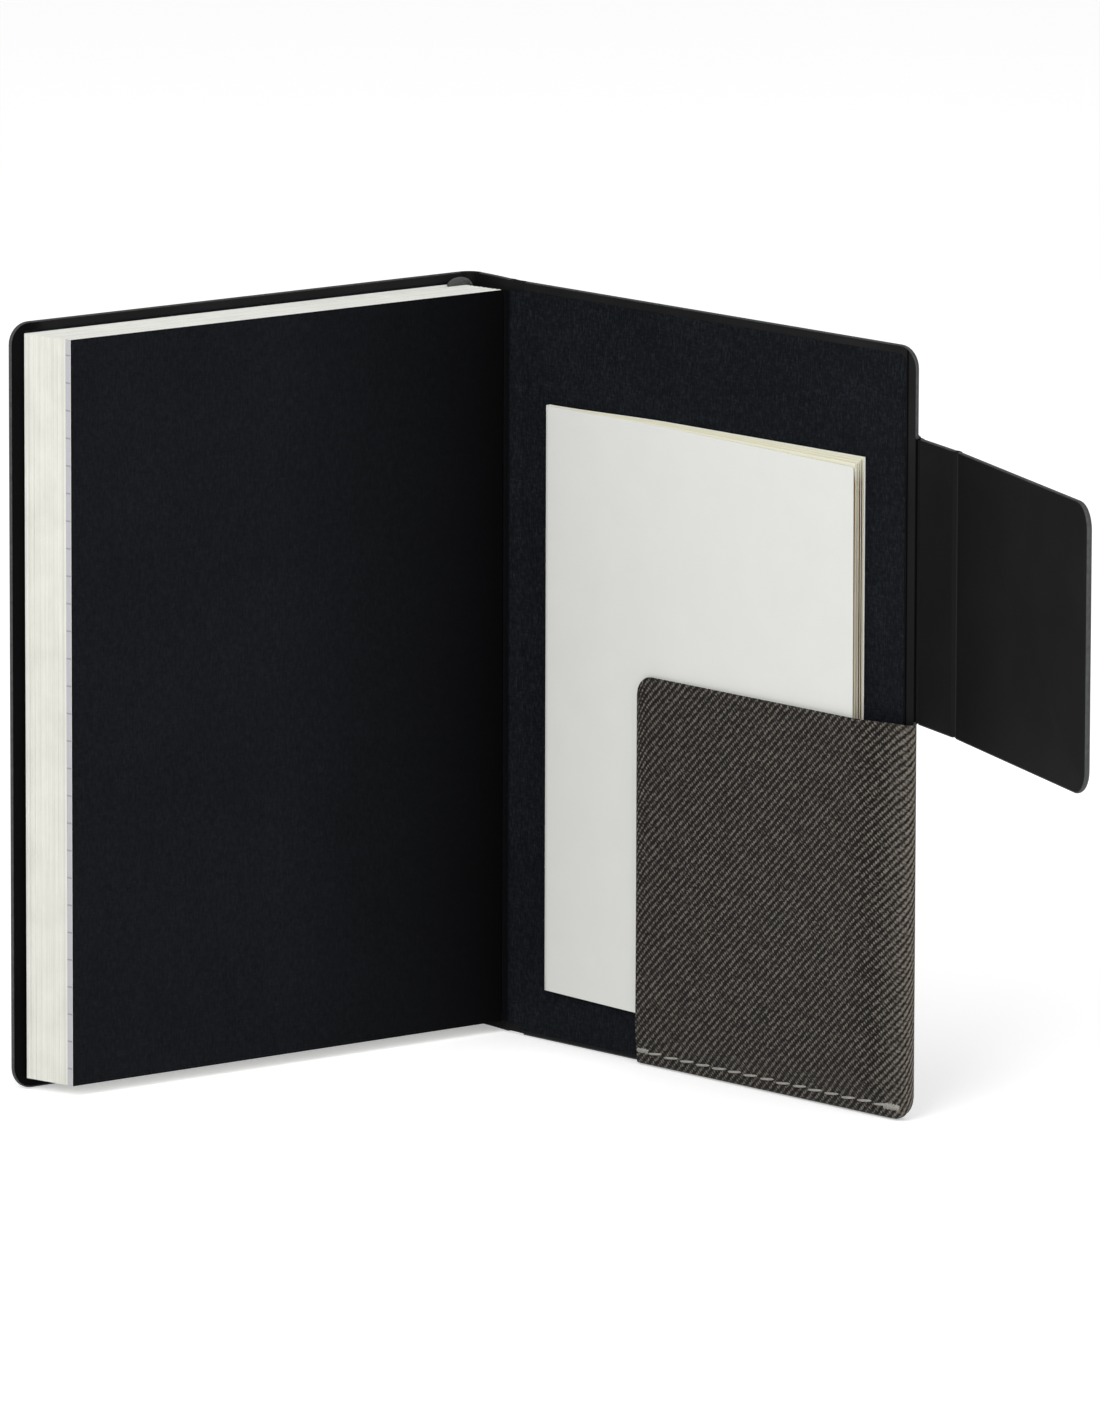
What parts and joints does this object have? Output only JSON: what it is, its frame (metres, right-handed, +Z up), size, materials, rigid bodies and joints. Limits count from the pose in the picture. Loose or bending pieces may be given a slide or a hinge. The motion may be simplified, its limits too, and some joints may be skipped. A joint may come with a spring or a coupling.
{
  "type": "daily planner",
  "caption": "Clothbound planner standing open at the back cover, with a fore-edge flap held by magnets, a cloth pocket, a slim booklet in it and a marker ribbon.",
  "frame": {"origin": "middle of the spine's foot, on the surface that the planner stands on", "axes": "+Z up along the spine, -Y towards the viewer who looks into the open back cover, +X to the viewer's right"},
  "size_m": [0.2873, 0.2307, 0.2114],
  "materials": {
    "twill_cloth": "matt grey-brown twill",
    "greyboard": "raw greyboard",
    "black_lining": "matt black imitation leather",
    "black_endpaper": "black laid paper",
    "gauze": "stiffened cotton gauze",
    "satin_ribbon": "charcoal satin",
    "ivory_paper": "smooth uncoated",
    "booklet_card": "smooth off-white card",
    "cream_paper": "smooth uncoated",
    "steel_wire": "bright wire",
    "magnet": "nickel plated"
  },
  "bodies": {
    "book_body": {"spine_cloth": "twill_cloth", "spine_board": "greyboard", "spine_lining": "black_lining", "spine_gauze": "gauze", "ribbon_loop": "satin_ribbon", "page_section_03": "ivory_paper", "page_section_04": "ivory_paper", "page_section_05": "ivory_paper", "page_section_06": "ivory_paper", "page_section_07": "ivory_paper"},
    "front_pages": {"page_section_01": "ivory_paper", "page_section_02": "ivory_paper"},
    "front_leaf": {"front_fly_leaf": "black_endpaper"},
    "front_cover": {"front_cover_cloth": "twill_cloth", "front_cover_board": "greyboard", "front_cover_lining": "black_lining", "front_pastedown": "black_endpaper", "cover_magnet_upper": "magnet", "cover_magnet_lower": "magnet"},
    "rear_pages": {"page_section_08": "ivory_paper", "page_section_09": "ivory_paper", "page_section_10": "ivory_paper"},
    "back_leaf": {"back_fly_leaf": "black_endpaper"},
    "back_cover": {"back_cover_cloth": "twill_cloth", "back_cover_board": "greyboard", "back_cover_lining": "black_lining", "back_pastedown": "black_endpaper", "pocket": "twill_cloth"},
    "booklet": {"booklet_cover": "booklet_card", "booklet_sheet_1": "cream_paper", "booklet_sheet_2": "cream_paper", "booklet_sheet_3": "cream_paper", "booklet_sheet_4": "cream_paper", "booklet_staple_upper": "steel_wire", "booklet_staple_lower": "steel_wire"},
    "flap_strip": {"flap_strip_cloth": "twill_cloth", "flap_strip_board": "greyboard", "flap_strip_lining": "black_lining"},
    "flap_panel": {"flap_panel_cloth": "twill_cloth", "flap_panel_board": "greyboard", "flap_panel_lining": "black_lining", "flap_magnet_upper": "magnet", "flap_magnet_lower": "magnet"},
    "ribbon": {"ribbon_tail": "satin_ribbon"}
  },
  "joints": [
    {"name": "front_cover_hinge", "type": "hinge", "parent": "book_body", "child": "front_cover", "pos_m": [-0.00705, 0.00761, 0.105], "axis": [0, 0, -1], "range_deg": [0, 180]},
    {"name": "front_leaf_hinge", "type": "hinge", "parent": "book_body", "child": "front_leaf", "pos_m": [-0.01128, 0.00382, 0.105], "axis": [0, 0, -1], "range_deg": [0, 108]},
    {"name": "front_pages_hinge", "type": "hinge", "parent": "book_body", "child": "front_pages", "pos_m": [-0.01094, 0.00373, 0.105], "axis": [0, 0, -1], "range_deg": [0, 54]},
    {"name": "back_cover_hinge", "type": "hinge", "parent": "book_body", "child": "back_cover", "pos_m": [0.00546, -0.00882, 0.105], "axis": [0, 0, 1], "range_deg": [-96.5, 83.5]},
    {"name": "rear_pages_hinge", "type": "hinge", "parent": "book_body", "child": "rear_pages", "pos_m": [0.0017, -0.00685, 0.105], "axis": [0, 0, 1], "range_deg": [0, 40]},
    {"name": "back_leaf_hinge", "type": "hinge", "parent": "rear_pages", "child": "back_leaf", "pos_m": [0.00185, -0.00705, 0.105], "axis": [0, 0, 1], "range_deg": [0, 65]},
    {"name": "flap_strip_hinge", "type": "hinge", "parent": "back_cover", "child": "flap_strip", "pos_m": [0.11254, -0.12048, 0.147], "axis": [0, 0, 1], "range_deg": [-71.7, 18.3]},
    {"name": "flap_panel_hinge", "type": "hinge", "parent": "flap_strip", "child": "flap_panel", "pos_m": [0.12242, -0.14119, 0.147], "axis": [0, 0, 1], "range_deg": [-86, 4]},
    {"name": "booklet_slide", "type": "slide", "parent": "back_cover", "child": "booklet", "axis": [0, 0, 1], "range_m": [-0.004, 0.095]},
    {"name": "ribbon_swing", "type": "hinge", "parent": "book_body", "child": "ribbon", "pos_m": [-0.01124, -0.00076, 0.2002], "axis": [-0.606, 0.7955, 0], "range_deg": [0, 20]}
  ],
  "couplings": [
    {"joint": "front_leaf_hinge", "follows": "front_cover_hinge", "ratio": 0.6},
    {"joint": "front_pages_hinge", "follows": "front_cover_hinge", "ratio": 0.3}
  ]
}
